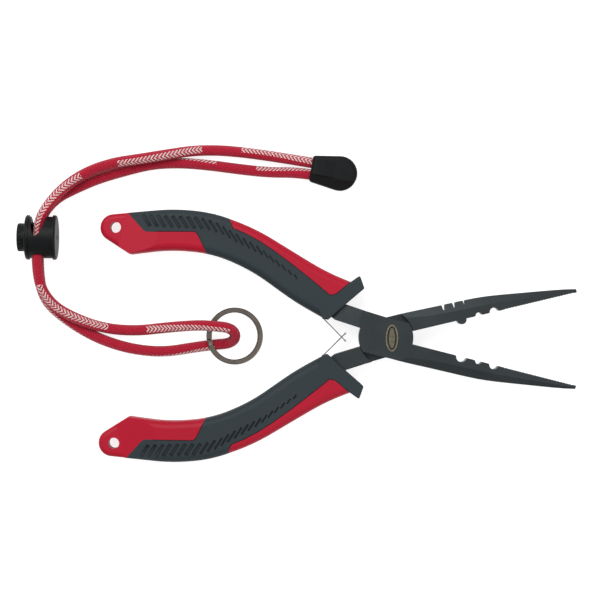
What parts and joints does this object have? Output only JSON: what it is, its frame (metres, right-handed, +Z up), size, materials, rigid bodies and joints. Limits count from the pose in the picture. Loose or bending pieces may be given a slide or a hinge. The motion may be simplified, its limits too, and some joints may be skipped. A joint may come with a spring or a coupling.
{
  "type": "fishing pliers",
  "caption": "Long-nose fishing pliers with lap joint, crossed leaf springs, two-colour grips with finger guards, and a loose wrist lanyard with split ring, cord lock and end clip.",
  "frame": {"origin": "on the surface that the open pliers lie on, under the middle of their bounding box, the lanyard left out", "axes": "+X from the handles towards the jaw tips, +Y towards the front half's handle, +Z up, away from the surface"},
  "size_m": [0.2345, 0.1333, 0.0187],
  "materials": {
    "steel": "satin",
    "spring_steel": "satin",
    "badge": "satin",
    "red_plastic": "satin",
    "grey_rubber": "matte",
    "cord": "woven",
    "ring_steel": "polished",
    "black_plastic": "satin"
  },
  "bodies": {
    "pivot": {"pivot_pin": "steel"},
    "front_half": {"front_half": "steel", "joint_badge": "badge", "front_grip_core": "red_plastic", "front_grip_cover": "grey_rubber", "front_leaf_pin": "steel"},
    "back_half": {"back_half": "steel", "back_grip_core": "red_plastic", "back_grip_cover": "grey_rubber", "back_leaf_pin": "steel"},
    "front_leaf": {"front_leaf_spring": "spring_steel"},
    "back_leaf": {"back_leaf_spring": "spring_steel"},
    "lanyard": {"lanyard_cord": "cord", "end_clip_base": "black_plastic", "end_clip_cover": "black_plastic", "end_clip_rivet": "ring_steel"},
    "ring": {"split_ring": "ring_steel"},
    "cord_lock": {"cord_lock_barrel": "black_plastic", "cord_lock_spring": "spring_steel"},
    "lock_button": {"cord_lock_button": "black_plastic"}
  },
  "joints": [
    {"name": "front_swing", "type": "hinge", "parent": "pivot", "child": "front_half", "pos_m": [0.0201, 0, 0.00675], "axis": [0, 0, 1], "range_deg": [0, 13.7], "stiffness_Nm_per_rad": 0.5, "springref_deg": -34.38},
    {"name": "back_swing", "type": "hinge", "parent": "pivot", "child": "back_half", "pos_m": [0.0201, 0, 0.00675], "axis": [0, 0, 1], "range_deg": [-13.7, 0]},
    {"name": "front_leaf_flex", "type": "hinge", "parent": "front_half", "child": "front_leaf", "pos_m": [-0.0137, 0.01545, 0.00675], "axis": [0, 0, 1], "range_deg": [0, 12.8]},
    {"name": "back_leaf_flex", "type": "hinge", "parent": "back_half", "child": "back_leaf", "pos_m": [-0.0137, -0.01545, 0.00675], "axis": [0, 0, 1], "range_deg": [-12.8, 0]},
    {"name": "lanyard_lift", "type": "slide", "parent": "pivot", "child": "lanyard", "axis": [0, 0, 1], "range_m": [0, 0.06]},
    {"name": "ring_turn", "type": "hinge", "parent": "lanyard", "child": "ring", "pos_m": [-0.0434, 0, 0.0038], "axis": [0.2164, 0, 0.9763], "continuous": true},
    {"name": "cord_lock_slide", "type": "slide", "parent": "lanyard", "child": "cord_lock", "axis": [0, -1, 0], "range_m": [0, 0.005]},
    {"name": "lock_button_press", "type": "slide", "parent": "cord_lock", "child": "lock_button", "axis": [1, 0, 0], "range_m": [0, 0.0012], "stiffness_N_per_m": 800, "springref_m": -0.003, "deforming": ["cord_lock_spring"]}
  ],
  "couplings": [
    {"joint": "back_swing", "follows": "front_swing", "ratio": -1},
    {"joint": "front_leaf_flex", "follows": "front_swing", "ratio": 0.934},
    {"joint": "back_leaf_flex", "follows": "front_swing", "ratio": -0.934}
  ]
}
